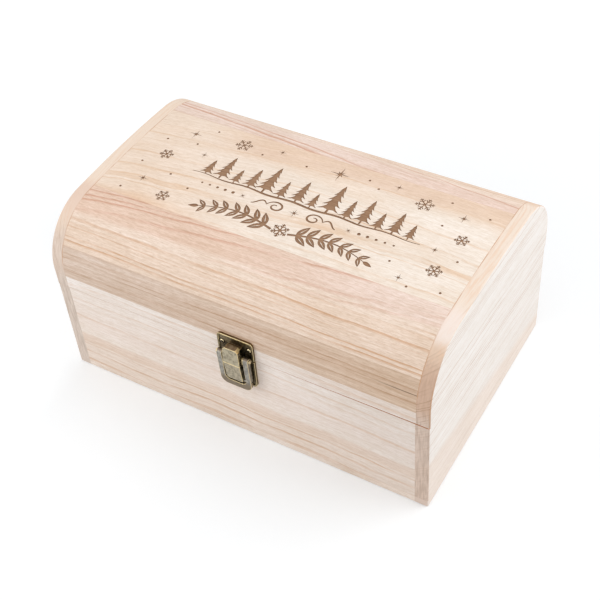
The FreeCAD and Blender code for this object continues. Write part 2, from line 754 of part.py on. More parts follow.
def leaf_outline(direction):
    """A leaf with two rounded far corners; direction is 1 on the lid and -1 on the base."""
    half = "Sizes.leaf_width / 2"
    corner = "Sizes.leaf_corner"
    start = f"{direction} * Sizes.leaf_setback"
    end = f"{direction} * (Sizes.leaf_setback + Sizes.leaf_height)"
    bend = f"{direction} * (Sizes.leaf_setback + Sizes.leaf_height - {corner})"
    return [
        (half, start),
        (half, bend, corner, direction),
        (f"{half} - {corner}", end),
        (f"{corner} - {half}", end, corner, direction),
        (f"-{half}", bend),
        (f"-{half}", start),
    ]


def cheek_outline(direction):
    """A cheek whose free edge meets the other leaf's cheek when the lid is fully open."""
    root = f"Sizes.leaf_thickness / 2 - {HINGE_AXIS_OUT}"
    near_end = f"{direction} * Sizes.leaf_setback"
    far_end = f"{direction} * (Sizes.leaf_setback + Sizes.cheek_root)"
    slip = "Sizes.cheek_gap / 2"

    def edge(reach):
        out = f"{reach} * sin({CHEEK_ANGLE}) - {slip} * cos({CHEEK_ANGLE})"
        along = f"{direction} * ({reach} * cos({CHEEK_ANGLE}) + {slip} * sin({CHEEK_ANGLE}))"
        return (out, along)

    return [(root, far_end), edge("Sizes.cheek_outer"), edge("Sizes.cheek_inner"), (root, near_end)]


def hinge_leaf(label, x, direction, knuckles, hole_clearance):
    """A leaf with its knuckles, two stop cheeks and two nail holes."""
    body = new_body(label, x, HINGE_Y, PARTING)
    plate_start = f"{HINGE_AXIS_OUT} - Sizes.leaf_thickness"
    thickness = "Sizes.leaf_thickness"
    pad(body, f"{label}_plate", "front", plate_start, [leaf_outline(direction)], thickness)
    for index, (start, end) in enumerate(knuckles):
        neck = rectangle(start, end, "0", f"{direction} * (Sizes.leaf_setback + {thickness})")
        pad(body, f"{label}_neck_{index}", "front", plate_start, [neck], thickness)
        barrel = ("0", "0", "Sizes.barrel_radius")
        pad_circle(body, f"{label}_knuckle_{index}", "side", start, barrel, f"{end} - {start}")
    cheek_starts = (f"-({CHEEK_INSIDE} + Sizes.cheek_thickness)", CHEEK_INSIDE)
    for index, start in enumerate(cheek_starts):
        outline = cheek_outline(direction)
        pad(body, f"{label}_cheek_{index}", "side", start, [outline], "Sizes.cheek_thickness")
    pin_hole = ("0", "0", f"Sizes.hinge_pin_radius + {hole_clearance}")
    through_holes(body, f"{label}_pin_hole", "side", [pin_hole])
    radius = "Sizes.nail_radius + Sizes.fit_clearance"
    up = f"{direction} * Sizes.hinge_nail_rise"
    circles = [(f"{side} * Sizes.hinge_nail_spread", up, radius) for side in (-1, 1)]
    through_holes(body, f"{label}_nail_holes", "front", circles)


def make_hinges():
    half = "(Sizes.barrel_length / 2)"
    middle = "(Sizes.lid_knuckle_length / 2)"
    inner = f"({middle} + Sizes.knuckle_gap)"
    for side, sign in (("left", -1), ("right", 1)):
        x = f"{sign} * {HINGE_X}"
        base_knuckles = [(f"-{half}", f"-{inner}"), (inner, half)]
        hinge_leaf(f"hinge_{side}_base_leaf", x, -1, base_knuckles, "Sizes.fit_clearance")
        lid_knuckles = [(f"-{middle}", middle)]
        hinge_leaf(f"hinge_{side}_lid_leaf", x, 1, lid_knuckles, "Sizes.running_clearance")
        label = f"hinge_{side}_pin"
        pin = rod(label, f"{x} - {half}", HINGE_Y, PARTING, "Sizes.hinge_pin_radius", f"2 * {half}")
        pin.Label = label
        nodes[label] = pin


def check_nodes():
    """Stop if anything failed, or if a piece is not a valid solid."""
    for item in doc.Objects:
        if "Invalid" in item.State or "Error" in item.State:
            raise RuntimeError(f"{item.Label} failed: {item.State}")
    for label, item in nodes.items():
        shape = item.Shape
        if shape.isNull() or not shape.isValid() or not shape.Solids:
            raise RuntimeError(f"{label} is not a valid solid")


def write_nodes():
    os.makedirs("parts", exist_ok=True)
    for label, item in nodes.items():
        item.Shape.exportStep(os.path.join("parts", f"{label}.step"))
        print(f"{label}: {len(item.Shape.Solids)} solids, {item.Shape.Volume:.1f} mm3")


make_base()
make_lid()
make_strike_plate()
make_mount_plate()
make_lever()
make_hook()
make_latch_pins()
make_hinges()
make_nails()
doc.recompute()
check_nodes()
write_nodes()
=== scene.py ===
import functools
import math

import bmesh
import bpy
from mathutils import Matrix, Vector, geometry


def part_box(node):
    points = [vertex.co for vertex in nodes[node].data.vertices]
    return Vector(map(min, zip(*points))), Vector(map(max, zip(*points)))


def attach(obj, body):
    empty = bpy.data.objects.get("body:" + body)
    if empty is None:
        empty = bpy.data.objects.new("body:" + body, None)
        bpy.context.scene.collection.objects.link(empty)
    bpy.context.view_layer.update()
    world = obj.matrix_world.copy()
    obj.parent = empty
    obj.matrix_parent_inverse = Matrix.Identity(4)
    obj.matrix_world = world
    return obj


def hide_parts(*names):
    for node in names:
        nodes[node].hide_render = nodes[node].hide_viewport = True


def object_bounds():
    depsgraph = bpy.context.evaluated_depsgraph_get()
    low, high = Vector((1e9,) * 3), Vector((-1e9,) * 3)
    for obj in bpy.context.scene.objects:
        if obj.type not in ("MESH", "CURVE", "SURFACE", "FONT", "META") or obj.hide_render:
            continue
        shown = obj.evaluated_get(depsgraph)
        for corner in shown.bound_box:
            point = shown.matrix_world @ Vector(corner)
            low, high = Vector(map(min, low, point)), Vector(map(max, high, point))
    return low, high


# Looks of a pale wooden keepsake box with a domed lid, an engraved top and a bronze draw latch.
# Metres in the frame of the solids; places that a material or a motif uses are in millimetres.

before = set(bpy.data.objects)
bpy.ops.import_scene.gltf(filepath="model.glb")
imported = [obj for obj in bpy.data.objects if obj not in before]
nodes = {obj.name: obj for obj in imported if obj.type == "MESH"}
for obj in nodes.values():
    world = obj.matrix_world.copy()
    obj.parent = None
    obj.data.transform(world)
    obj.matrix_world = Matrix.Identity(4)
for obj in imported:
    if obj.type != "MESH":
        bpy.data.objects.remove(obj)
cad_low, cad_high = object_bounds()

MM = 0.001
AXIS_X, AXIS_Y, AXIS_Z = range(3)

# Shape of the dome, as in the solids: shoulder, crown and top panel
SHOULDER_Z = 99.05
SHOULDER_RADIUS = 43.76
SHOULDER_Y = 52.74
TANGENT_ANGLE = math.radians(86.55)
TANGENT_Y = 55.4
CROWN_RADIUS = 920
CROWN_TOP = 144.4
PANEL_FRONT = -47.19
PANEL_BACK = 52.99
PANEL_HALF = 140
PANEL_THICKNESS = 8

# Outside of the box, the inner face of its ends, and the height at which the lid parts from the base
HALF_LENGTH = cad_high.x / MM
HALF_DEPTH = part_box("base_back_board")[1].y / MM
END_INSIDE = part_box("base_right_end")[0].x / MM
PARTING_Z = (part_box("base_front_board")[1].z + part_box("lid_front_rail")[0].z) / 2 / MM


def srgb(red, green, blue):
    """Colour given as it looks on a screen, 0 to 255, for a shader socket."""
    def linear(level):
        share = level / 255
        return share / 12.92 if share <= 0.04045 else ((share + 0.055) / 1.055) ** 2.4
    return (linear(red), linear(green), linear(blue), 1)


# Node trees

class Graph:
    """Short ways to add nodes to the tree of a material or world, and join them."""

    def __init__(self, owner):
        owner.use_nodes = True
        self.owner = owner
        self.tree = owner.node_tree
        self.tree.nodes.clear()

    def node(self, kind, **settings):
        made = self.tree.nodes.new(f"ShaderNode{kind}")
        for name, value in settings.items():
            setattr(made, name, value)
        return made

    def put(self, socket, value):
        """Set a socket, or join it to an output."""
        if isinstance(value, bpy.types.NodeSocket):
            self.tree.links.new(value, socket)
        else:
            socket.default_value = value

    def fill(self, made, values):
        """Put values into a node's first sockets, and give its first output."""
        for socket, value in zip(made.inputs, values):
            self.put(socket, value)
        return made.outputs[0]

    def math(self, operation, *values):
        return self.fill(self.node("Math", operation=operation), values)

    def add(self, *values):
        total = values[0]
        for value in values[1:]:
            total = self.math("ADD", total, value)
        return total

    def times(self, *values):
        product = values[0]
        for value in values[1:]:
            product = self.math("MULTIPLY", product, value)
        return product

    def minus(self, value, less):
        return self.math("SUBTRACT", value, less)

    def absolute(self, value):
        return self.math("ABSOLUTE", value)

    def apart(self, first, second):
        return self.absolute(self.minus(first, second))

    def larger(self, first, second):
        return self.math("MAXIMUM", first, second)

    def smaller(self, first, second):
        return self.math("MINIMUM", first, second)

    def power(self, value, exponent):
        return self.math("POWER", value, exponent)

    def distance(self, across, up):
        return self.math("SQRT", self.add(self.times(across, across), self.times(up, up)))

    def step(self, value, low, high, start=0.0, end=1.0):
        """Smooth change from start to end while the value goes from low to high."""
        made = self.node("MapRange", interpolation_type="SMOOTHSTEP")
        return self.fill(made, (value, low, high, start, end))

    def fade(self, value, low, high):
        """Smooth fall from 1 to 0 while the value goes from low to high."""
        return self.step(value, low, high, 1.0, 0.0)

    def even_step(self, value, low, high):
        """Even rise from 0 to 1 while the value goes from low to high."""
        return self.fill(self.node("MapRange"), (value, low, high, 0.0, 1.0))

    def between(self, share, low, high):
        return self.add(low, self.times(share, high - low))

    def point(self, *parts):
        return self.fill(self.node("CombineXYZ"), parts)

    def scaled(self, place, scales):
        """Point from the parts of a place, each times its scale."""
        return self.point(*[self.times(part, scale) for part, scale in zip(place, scales)])

    def noise(self, place, detail=2.0, roughness=0.5):
        """Noise from 0 to 1 at a place whose parts already carry their scales."""
        made = self.node("TexNoise", noise_dimensions="3D")
        self.put(made.inputs["Vector"], place)
        made.inputs["Scale"].default_value = 1
        made.inputs["Detail"].default_value = detail
        made.inputs["Roughness"].default_value = roughness
        return made.outputs["Fac"]

    def chance(self, value):
        """One random number for each whole number."""
        made = self.node("TexWhiteNoise", noise_dimensions="1D")
        self.put(made.inputs["W"], value)
        return made.outputs["Value"]

    def mix(self, share, first, second, blend="MIX"):
        made = self.node("Mix", data_type="RGBA", blend_type=blend)
        self.put(made.inputs["Factor"], share)
        self.put(made.inputs["A"], first)
        self.put(made.inputs["B"], second)
        return made.outputs["Result"]

    def multiplied(self, colour, factors):
        return self.mix(1.0, colour, factors, "MULTIPLY")

    def ramp(self, value, stops):
        """Colours along a value; stops are (value, colour) with rising values."""
        low, high = stops[0][0], stops[-1][0]
        made = self.node("ValToRGB")
        band = made.color_ramp
        while len(band.elements) < len(stops):
            band.elements.new(1.0)
        for element, (place, colour) in zip(band.elements, stops):
            element.position = (place - low) / (high - low)
            element.color = colour
        self.put(made.inputs["Fac"], self.even_step(value, low, high))
        return made.outputs["Color"]

    def place_mm(self):
        """The three parts of the place on the solid, in millimetres."""
        source = self.node("TexCoord").outputs["Object"]
        scaled = self.node("VectorMath", operation="SCALE")
        self.put(scaled.inputs["Vector"], source)
        scaled.inputs["Scale"].default_value = 1 / MM
        parts = self.node("SeparateXYZ")
        self.put(parts.inputs[0], scaled.outputs[0])
        return parts.outputs

    def facing(self, axis):
        """How squarely the surface faces along an axis of the solid, 0 to 1."""
        source = self.node("TexCoord").outputs["Normal"]
        parts = self.node("SeparateXYZ")
        self.put(parts.inputs[0], source)
        return self.absolute(parts.outputs[axis])

    def surface(self, **inputs):
        """Principled surface with the given sockets, joined to the output; gives the material."""
        shader = self.node("BsdfPrincipled")
        for name, value in inputs.items():
            self.put(shader.inputs[name.replace("_", " ")], value)
        self.put(self.node("OutputMaterial").inputs["Surface"], shader.outputs[0])
        return self.owner

    def bump(self, height, depth, strength=1.0):
        """Normal of a surface whose height, 0 to 1, spans a depth in millimetres."""
        made = self.node("Bump")
        made.inputs["Strength"].default_value = strength
        made.inputs["Distance"].default_value = depth * MM
        self.put(made.inputs["Height"], height)
        return made.outputs["Normal"]


def new_material(name):
    return Graph(bpy.data.materials.new(name))


# Wood: a board's places are how far a point lies along its grain, across it and into the board

def wall_places(graph):
    x, y, z = graph.place_mm()
    return x, z, y


def dome_places(graph):
    """Across is the way up the wall and over the shoulder to the crown."""
    x, y, z = graph.place_mm()
    away = graph.absolute(y)
    rise = graph.larger(graph.minus(z, SHOULDER_Z), 0.0)
    angle = graph.math("ARCTAN2", rise, graph.minus(away, SHOULDER_Y))
    around = graph.times(graph.smaller(angle, TANGENT_ANGLE), SHOULDER_RADIUS)
    inward = graph.larger(graph.minus(TANGENT_Y, away), 0.0)
    return x, graph.add(graph.smaller(z, SHOULDER_Z), around, inward), z


def end_places(graph):
    x, y, z = graph.place_mm()
    return y, z, x


# Fineness of the rings' wander in waves per millimetre: along the grain, across it and into the board
DRIFT = (0.011, 0.022, 0.02)
RIPPLE = (0.07, 0.12, 0.12)
UNEVEN = 0.09

# Fineness of the figure along the grain and to its sides, and a number that keeps each kind apart
LINE_GAPS = (0.014, 0.16, 23.0)
FINE_FIBRES = (0.05, 1.9, 11.0)
BROAD_FIBRES = (0.02, 0.55, 17.0)
ORANGE_STREAKS = (0.03, 0.4, 29.0)
JOINT_GAPS = (0.05, 0.05, 31.0)
FLECKS = (0.2, 1.05, 7.0)
PORES = (0.28, 4.2, 5.0)
CLOUD_SHIFT = 3.0

# Share of a ring's place at which it begins to darken, and at which it breaks off
RING_START = 0.35
RING_EDGE = 0.93


class Wood:
    """Figure of one board, as values of its node tree.

    Spacing is the width of a ring. Slope and lean tilt the rings along and into the board, wave is how far
    they wander, and bow bends them over the length.
    """

    def __init__(self, graph, places, seed, spacing, slope=0.0, lean=0.0, wave=4.0, bow=0.0):
        self.graph = graph
        self.seed = seed
        self.along, self.across, self.depth = places(graph)
        shift = seed * 37.0
        # A slow wander of the rings along the board, and a smaller ripple
        drift = graph.minus(graph.noise(self.spot(self.across, DRIFT, shift)), 0.5)
        ripple = graph.minus(graph.noise(self.spot(self.across, RIPPLE, shift), detail=1.0), 0.5)
        self.ring = graph.add(
            self.across,
            graph.times(self.along, slope),
            graph.times(self.depth, lean),
            graph.times(drift, wave * 2),
            graph.times(ripple, wave * 0.3),
            graph.times(self.along, self.along, bow))
        # Rings of uneven width
        uneven_place = graph.point(graph.add(graph.times(self.ring, UNEVEN), shift), 0.0, 0.0)
        uneven = graph.times(graph.noise(uneven_place, detail=1.0), 3.0)
        count = graph.add(graph.times(self.ring, 1 / spacing), uneven, shift)
        self.saw = graph.math("FRACT", count)
        self.index = graph.math("FLOOR", count)

    def spot(self, across, scales, shift):
        """Place for a noise, shifted along the grain."""
        parts = zip((self.along, across, self.depth), scales)
        along, across, depth = [self.graph.times(part, scale) for part, scale in parts]
        return self.graph.point(self.graph.add(along, shift), across, depth)

    def grain_noise(self, length, width, offset, detail=4.0, roughness=0.65):
        """Noise drawn out along the grain, 0 to 1; length and width are waves per millimetre."""
        place = self.spot(self.ring, (length, width, width), self.seed * offset)
        return self.graph.noise(place, detail, roughness)

    def lines(self, start=RING_START, edge=RING_EDGE):
        """Late wood: each ring darkens slowly and ends at a sharper edge; rings differ in strength."""
        graph = self.graph
        rise = graph.power(graph.step(self.saw, start, edge), 2.0)
        fall = graph.fade(self.saw, edge, 1.0)
        strength = graph.step(graph.chance(self.index), 0.1, 1.0)
        gaps = graph.step(self.grain_noise(*LINE_GAPS), 0.38, 0.6, 0.25, 1.0)
        return graph.times(rise, fall, strength, gaps)

    @functools.cached_property
    def fibre(self):
        """Long thin streaks along the grain, fine ones over broad ones, 0 to 1."""
        fine = self.graph.times(self.grain_noise(*FINE_FIBRES), 0.6)
        broad = self.graph.times(self.grain_noise(*BROAD_FIBRES), 0.4)
        return self.graph.add(fine, broad)

    def flecks(self):
        """Short dashes of lighter and darker wood, 0 to 1."""
        return self.grain_noise(*FLECKS, detail=3.0, roughness=0.6)

    @functools.cached_property
    def pore(self):
        """Short dark dashes along the grain, 0 to 1."""
        return self.graph.step(self.grain_noise(*PORES, detail=1.0, roughness=0.5), 0.58, 0.72)

    def clouds(self, length=0.02, width=0.035):
        """Broad soft differences in tone, 0 to 1."""
        return self.grain_noise(length, width, CLOUD_SHIFT, detail=3.0, roughness=0.5)


def finish_wood(wood, colour, lines):
    """Material of a board with a colour and raised lines: fibres stand up too, pores are sunk."""
    graph = wood.graph
    grain_depth = 0.06
    rough, smooth = 0.74, 0.56
    height = graph.add(
        graph.times(wood.fibre, 0.7),
        graph.times(lines, 0.35),
        graph.times(wood.pore, -0.6))
    return graph.surface(
        Base_Color=colour,
        Roughness=graph.step(wood.fibre, 0.3, 0.7, rough, smooth),
        Specular_IOR_Level=0.32,
        Normal=graph.bump(height, grain_depth, 0.7))


def toned(wood, colour, strength=1.0):
    """Streaks, flecks, pores and soft clouds over a colour; what is darker is warmer."""
    graph = wood.graph
    pore_brown = srgb(164, 116, 80)

    def light(value, low, high, darker, lighter):
        return graph.step(value, low, high, 1 - darker * strength, 1 + lighter * strength)

    shade = graph.times(
        light(wood.fibre, 0.32, 0.68, darker=0.13, lighter=0.08),
        light(wood.clouds(), 0.25, 0.75, darker=0.045, lighter=0.045),
        light(wood.flecks(), 0.34, 0.66, darker=0.075, lighter=0.06))
    warm = graph.point(graph.power(shade, 0.75), shade, graph.power(shade, 1.35))
    return graph.mix(graph.times(wood.pore, 0.24 * strength), graph.multiplied(colour, warm), pore_brown)


def gap_painted_shade(graph, colour):
    """Painted shade on the outer edge of the faces that meet between the lid and the base: pale at the
    left, which lightens the gap, and tan to the right, which darkens it.
    """
    pale, tan = srgb(240, 218, 198), srgb(214, 152, 106)
    x, y, z = graph.place_mm()
    # The gap's shade is painted on these hidden faces
    at_gap = graph.fade(graph.apart(z, PARTING_Z), 0.9, 1.1)
    near_front = graph.step(graph.absolute(y), HALF_DEPTH - 1.0, HALF_DEPTH - 0.5)
    near_end = graph.step(graph.absolute(x), HALF_LENGTH - 1.3, HALF_LENGTH - 0.8)
    level = graph.step(graph.facing(AXIS_Z), 0.5, 0.9)
    share = graph.times(at_gap, graph.larger(near_front, near_end), level)
    return graph.mix(share, colour, graph.mix(graph.step(x, -20.0, 110.0), pale, tan))


def browned_corner(graph, colour):
    """Tan edge where the front and back of an end board meet its outer face, up to the shoulder."""
    tan = srgb(206, 156, 118)
    x, y, z = graph.place_mm()
    rise = graph.larger(graph.minus(z, SHOULDER_Z), 0.0)
    out = graph.larger(graph.minus(graph.absolute(y), SHOULDER_Y), 0.0)
    from_curve = graph.minus(SHOULDER_RADIUS, graph.distance(rise, out))
    from_end = graph.minus(HALF_LENGTH, graph.absolute(x))
    edge = graph.fade(graph.larger(from_curve, from_end), 0.35, 0.95)
    low = graph.fade(z, 112.0, 134.0)
    return graph.mix(graph.times(edge, low, 0.7), colour, tan)


# Tones of the front and back walls by height, from the foot up
WALL_TONES = [
    (0, srgb(243, 225, 211)),
    (26, srgb(243, 226, 213)),
    (29, srgb(237, 215, 198)),
    (36, srgb(240, 220, 205)),
    (38, srgb(246, 232, 221)),
    (52, srgb(244, 228, 217)),
    (66, srgb(245, 231, 221)),
    (84, srgb(246, 234, 225)),
    (97, srgb(247, 236, 228)),
]


def wall_wood(name, seed, figure):
    """Pale boards of the front and the back: paler above, with more tan lines below, and painted shade to
    the right.

    Figure is the strength of the lines.
    """
    rail_tan, line_tan = srgb(232, 208, 190), srgb(220, 184, 153)
    lean = 0.5
    graph = new_material(name)
    wood = Wood(graph, wall_places, seed, spacing=6.5, lean=lean, wave=5.0)
    level = graph.add(wood.ring, graph.times(wood.depth, -lean))
    base = graph.ramp(level, WALL_TONES)
    # Painted shade: darker to the right, where less light falls on the wall; and the right half of the
    # lid's rail is tan
    darker = graph.step(wood.along, 10.0, 150.0, 1.0, 0.93)
    base = graph.multiplied(base, graph.point(darker, darker, darker))
    rail = graph.times(graph.step(wood.across, 82.0, 88.0), graph.step(wood.along, 10.0, 90.0))
    base = graph.mix(graph.times(rail, 0.4), base, rail_tan)
    # Lines fade upwards and towards the foot
    low = graph.step(wood.across, 22.0, 66.0, 1.0, 0.35)
    foot = graph.step(wood.across, 4.0, 16.0, 0.55, 1.0)
    lines = graph.times(wood.lines(0.15, 0.88), low, foot, figure)
    colour = toned(wood, graph.mix(lines, base, line_tan), 0.8)
    return finish_wood(wood, gap_painted_shade(graph, colour), lines)


def stave_wood(name, seed, crack):
    """Brown stave below the shoulder, yellower to the right; one has a short dark crack."""
    left, right = srgb(228, 207, 191), srgb(227, 201, 178)
    band_brown, line_brown, crack_brown = srgb(196, 158, 126), srgb(186, 144, 110), srgb(92, 74, 62)
    graph = new_material(name)
    wood = Wood(graph, dome_places, seed, spacing=3.4, wave=2.5, slope=-0.01)
    base = graph.mix(graph.step(wood.along, -120.0, 150.0), left, right)
    bands = graph.step(wood.clouds(0.006, 0.25), 0.35, 0.65)
    base = graph.mix(graph.times(bands, 0.35), base, band_brown)
    lines = wood.lines(0.2)
    colour = graph.mix(graph.times(lines, 0.8), base, line_brown)
    colour = toned(wood, colour, 1.2)
    if crack:
        crack_place, crack_start, crack_full = 110.6, 106.0, 128.0
        wander = graph.times(graph.minus(wood.fibre, 0.5), 0.8)
        place = graph.add(wood.across, graph.times(wood.along, 0.004), wander)
        thin = graph.fade(graph.apart(place, crack_place), 0.08, 0.42)
        length = graph.step(wood.along, crack_start, crack_full)
        colour = graph.mix(graph.times(thin, length, 0.85), colour, crack_brown)
    return finish_wood(wood, colour, lines)


def shoulder_wood(name, seed, left, right):
    """Shoulder: tan with close orange lines below, a pink zone with slanting figure above.

    Left and right are the tones of the pink zone.
    """
    tan, band_tone = srgb(242, 219, 200), srgb(247, 228, 212)
    lower_line, upper_line = srgb(218, 174, 138), srgb(218, 172, 148)
    graph = new_material(name)
    slanting = Wood(graph, dome_places, seed, spacing=4.2, slope=-0.1, wave=4.5)
    plain = Wood(graph, dome_places, seed + 1, spacing=3.0, slope=0.004, wave=2.0)
    pink = graph.mix(graph.step(slanting.along, -40.0, 120.0), left, right)
    edge = graph.add(slanting.across, graph.times(slanting.along, -0.035))
    upper = graph.step(edge, 143.0, 152.0)
    base = graph.mix(upper, tan, pink)
    # A pale band runs where the zones meet
    band = graph.times(graph.step(edge, 142.0, 146.0), graph.fade(edge, 150.0, 155.0))
    base = graph.mix(graph.times(band, 0.75), base, band_tone)
    lower_lines = graph.times(plain.lines(0.25), graph.minus(1.0, upper))
    upper_lines = graph.times(slanting.lines(0.2), upper)
    colour = graph.mix(graph.times(lower_lines, 1.5), base, lower_line)
    colour = graph.mix(graph.times(upper_lines, 1.4), colour, upper_line)
    colour = toned(plain, colour, 1.1)
    return finish_wood(plain, colour, graph.add(lower_lines, upper_lines))


def panel_figure(graph, seed):
    """Figure and lines of the cream panel, for its face and for its engraving."""
    wood = Wood(graph, Graph.place_mm, seed, spacing=9.0, slope=-0.05, wave=7.0, bow=0.0004)
    return wood, wood.lines(0.45)


def panel_wood(name, seed):
    """Cream panel: paler to the right, warmer in patches, at the back and in the left front corner."""
    left, right = srgb(245, 225, 207), srgb(249, 236, 223)
    rear_tan, patch_tan, corner_tan = srgb(234, 204, 180), srgb(242, 215, 190), srgb(239, 204, 174)
    line_tan, seam_tan = srgb(232, 197, 164), srgb(206, 158, 118)
    graph = new_material(name)
    wood, lines = panel_figure(graph, seed)
    base = graph.mix(graph.step(wood.along, -130.0, 60.0), left, right)
    rear = graph.times(graph.step(wood.ring, 26.0, 42.0), graph.step(wood.along, -110.0, -40.0))
    base = graph.mix(graph.times(rear, 0.85), base, rear_tan)
    patches = graph.step(wood.clouds(0.012, 0.05), 0.42, 0.7)
    base = graph.mix(graph.times(patches, 0.45), base, patch_tan)
    corner = graph.times(graph.step(wood.ring, -26.0, -40.0), graph.step(wood.along, -30.0, -110.0))
    base = graph.mix(graph.times(corner, 0.9), base, corner_tan)
    colour = graph.mix(graph.times(lines, 0.8), base, line_tan)
    colour = toned(wood, colour, 0.8)
    for joint in (PANEL_FRONT, PANEL_BACK):
        seam = graph.fade(graph.apart(wood.across, joint), 0.0, 0.35)
        colour = graph.mix(graph.times(seam, 0.5), colour, seam_tan)
    return finish_wood(wood, colour, lines)


def burnt_wood(name, seed):
    """Floor of the engraving: scorched brown, streaked along the grain, with fine lines of the burner."""
    dark_scorch, pale_scorch = srgb(146, 111, 85), srgb(180, 144, 115)
    line_brown, pass_brown = srgb(130, 95, 70), srgb(96, 66, 46)
    pass_width = 0.5
    graph = new_material(name)
    wood, lines = panel_figure(graph, seed)
    brown = graph.mix(graph.step(wood.fibre, 0.32, 0.68), dark_scorch, pale_scorch)
    brown = graph.mix(graph.times(lines, 0.4), brown, line_brown)
    passes = graph.math("SINE", graph.times(wood.across, 2 * math.pi / pass_width))
    brown = graph.mix(graph.step(passes, -1.0, 1.0, 0.0, 0.12), brown, pass_brown)
    height = graph.add(graph.times(wood.fibre, 0.8), graph.times(passes, 0.1))
    return graph.surface(
        Base_Color=brown,
        Roughness=0.85,
        Specular_IOR_Level=0.2,
        Normal=graph.bump(height, 0.08))


def end_wood(name, seed, pale, base_tone, lid_tone, turn_tone, grain_edge, line_strength, lean):
    """End boards: pale with fine lines, pinker below; their edges show darker end grain.

    Pale is the tone of the face, base_tone and lid_tone those of the end grain, and turn_tone that of the
    front edge where it turns over the shoulder. Grain_edge says how squarely a surface faces the front or
    back where the end grain begins and where it is full.
    """
    low_pink, line_tone = srgb(244, 230, 219), srgb(212, 186, 166)
    base_stain, lid_stain, ring_brown = srgb(226, 221, 216), srgb(241, 237, 233), srgb(176, 138, 108)
    upper_cream, upper_orange, joint_brown = srgb(245, 220, 197), srgb(238, 196, 160), srgb(200, 148, 106)
    graph = new_material(name)
    wood = Wood(graph, end_places, seed, spacing=2.6, slope=0.07, lean=lean, wave=3.0)
    border = graph.add(wood.across, graph.times(wood.along, 0.17))
    base = graph.mix(graph.step(border, 24.0, 36.0), low_pink, pale)
    lines = wood.lines(0.3)
    figure = graph.step(wood.across, 40.0, 80.0, 0.65 * line_strength, line_strength)
    colour = graph.mix(graph.times(lines, figure), base, line_tone)
    colour = toned(wood, colour, 0.5)
    # End grain on the narrow front and back edges
    end_grain = graph.step(graph.facing(AXIS_Y), *grain_edge)
    speckle = graph.noise(graph.scaled((wood.along, wood.across, wood.depth), (0.4, 0.1, 0.9)), detail=3.0)
    on_lid = graph.step(wood.across, 84.0, 104.0)
    tone = graph.mix(on_lid, base_tone, lid_tone)
    stained = graph.multiplied(tone, graph.mix(on_lid, base_stain, lid_stain))
    dark = graph.mix(graph.step(speckle, 0.3, 0.65), stained, tone)
    rings = graph.step(wood.across, 84.0, 92.0, 0.25, 1.15)
    dark = graph.mix(graph.times(lines, rings), dark, ring_brown)
    colour = graph.mix(graph.times(end_grain, 0.9), colour, dark)
    # The upper edge is warm, with orange streaks
    upper = graph.times(graph.step(graph.facing(AXIS_Z), 0.4, 0.9), graph.step(wood.across, 118.0, 136.0))
    colour = graph.mix(graph.times(upper, 0.6), colour, upper_cream)
    orange = graph.step(wood.grain_noise(*ORANGE_STREAKS), 0.5, 0.62)
    colour = graph.mix(graph.times(upper, orange, 0.35), colour, upper_orange)
    # The front edge changes tone where it turns over the shoulder
    turn = graph.times(
        graph.step(wood.along, -40.0, -52.0),
        graph.step(graph.facing(AXIS_Y), *grain_edge, 0.7, 0.0),
        graph.fade(graph.facing(AXIS_X), 0.3, 0.6))
    colour = graph.mix(turn, colour, turn_tone)
    # The joint with the staves and the panel shows as a broken line
    joint = graph.fade(graph.minus(graph.absolute(wood.depth), PANEL_HALF), 0.1, 0.8)
    broken = graph.step(wood.grain_noise(*JOINT_GAPS), 0.4, 0.6, 0.15, 0.9)
    above = graph.step(wood.across, 96.0, 112.0)
    colour = graph.mix(graph.times(above, joint, broken), colour, joint_brown)
    colour = gap_painted_shade(graph, browned_corner(graph, colour))
    return finish_wood(wood, colour, lines)


def bottom_wood(name, seed):
    """Bottom board: its edges continue the tones of the end boards above them."""
    dark, pale, line_tan = srgb(240, 221, 206), srgb(245, 229, 216), srgb(220, 184, 154)
    left_grain, right_grain, end_face = srgb(218, 200, 187), srgb(222, 199, 184), srgb(245, 231, 221)
    graph = new_material(name)
    wood = Wood(graph, Graph.place_mm, seed, spacing=7.0, lean=0.5, wave=6.0)
    base = graph.mix(graph.step(wood.clouds(), 0.3, 0.7), dark, pale)
    lines = wood.lines()
    colour = graph.mix(graph.times(lines, 0.6), base, line_tan)
    colour = toned(wood, colour)
    under_end = graph.step(graph.absolute(wood.along), END_INSIDE - 0.15, END_INSIDE + 0.15)
    front_edge = graph.times(graph.step(graph.facing(AXIS_Y), 0.4, 0.8), under_end, 0.85)
    end_grain = graph.mix(graph.step(wood.along, -1.0, 1.0), left_grain, right_grain)
    colour = graph.mix(front_edge, colour, end_grain)
    end_edge = graph.step(graph.facing(AXIS_X), 0.4, 0.8, 0.0, 0.75)
    colour = graph.mix(end_edge, colour, end_face)
    return finish_wood(wood, colour, lines)


# Metal

LATCH_X = 6.2
NAIL_ROWS = ((10.7, 93.4), (8, 62.4))
LATCH_NAILS = [(LATCH_X + side * out, z) for out, z in NAIL_ROWS for side in (-1, 1)]

# Painted shade in rings round the nails: where it begins to fade and where it ends, on the plate and not
# in front of it
SHADE_RING_FADE, SHADE_RING_END = 2.0, 2.9
ON_PLATE_Y, OFF_PLATE_Y = -98.2, -99.0

# Fineness of the metal's figure, in waves per millimetre
MOTTLE = (0.45, 0.45, 0.45)
GRIT = (3.5, 3.5, 3.5)
SPECKS = (1.6, 1.6, 1.6)
WIRE_LINES = (0.2, 6.0, 6.0)

PATINA = srgb(44, 36, 28)


def nail_distance(graph, x, z):
    """Distance across the front to the middle of the nearest latch nail."""
    nearest = None
    for nail_x, nail_z in LATCH_NAILS:
        away = graph.distance(graph.minus(x, nail_x), graph.minus(z, nail_z))
        nearest = away if nearest is None else graph.smaller(nearest, away)
    return nearest


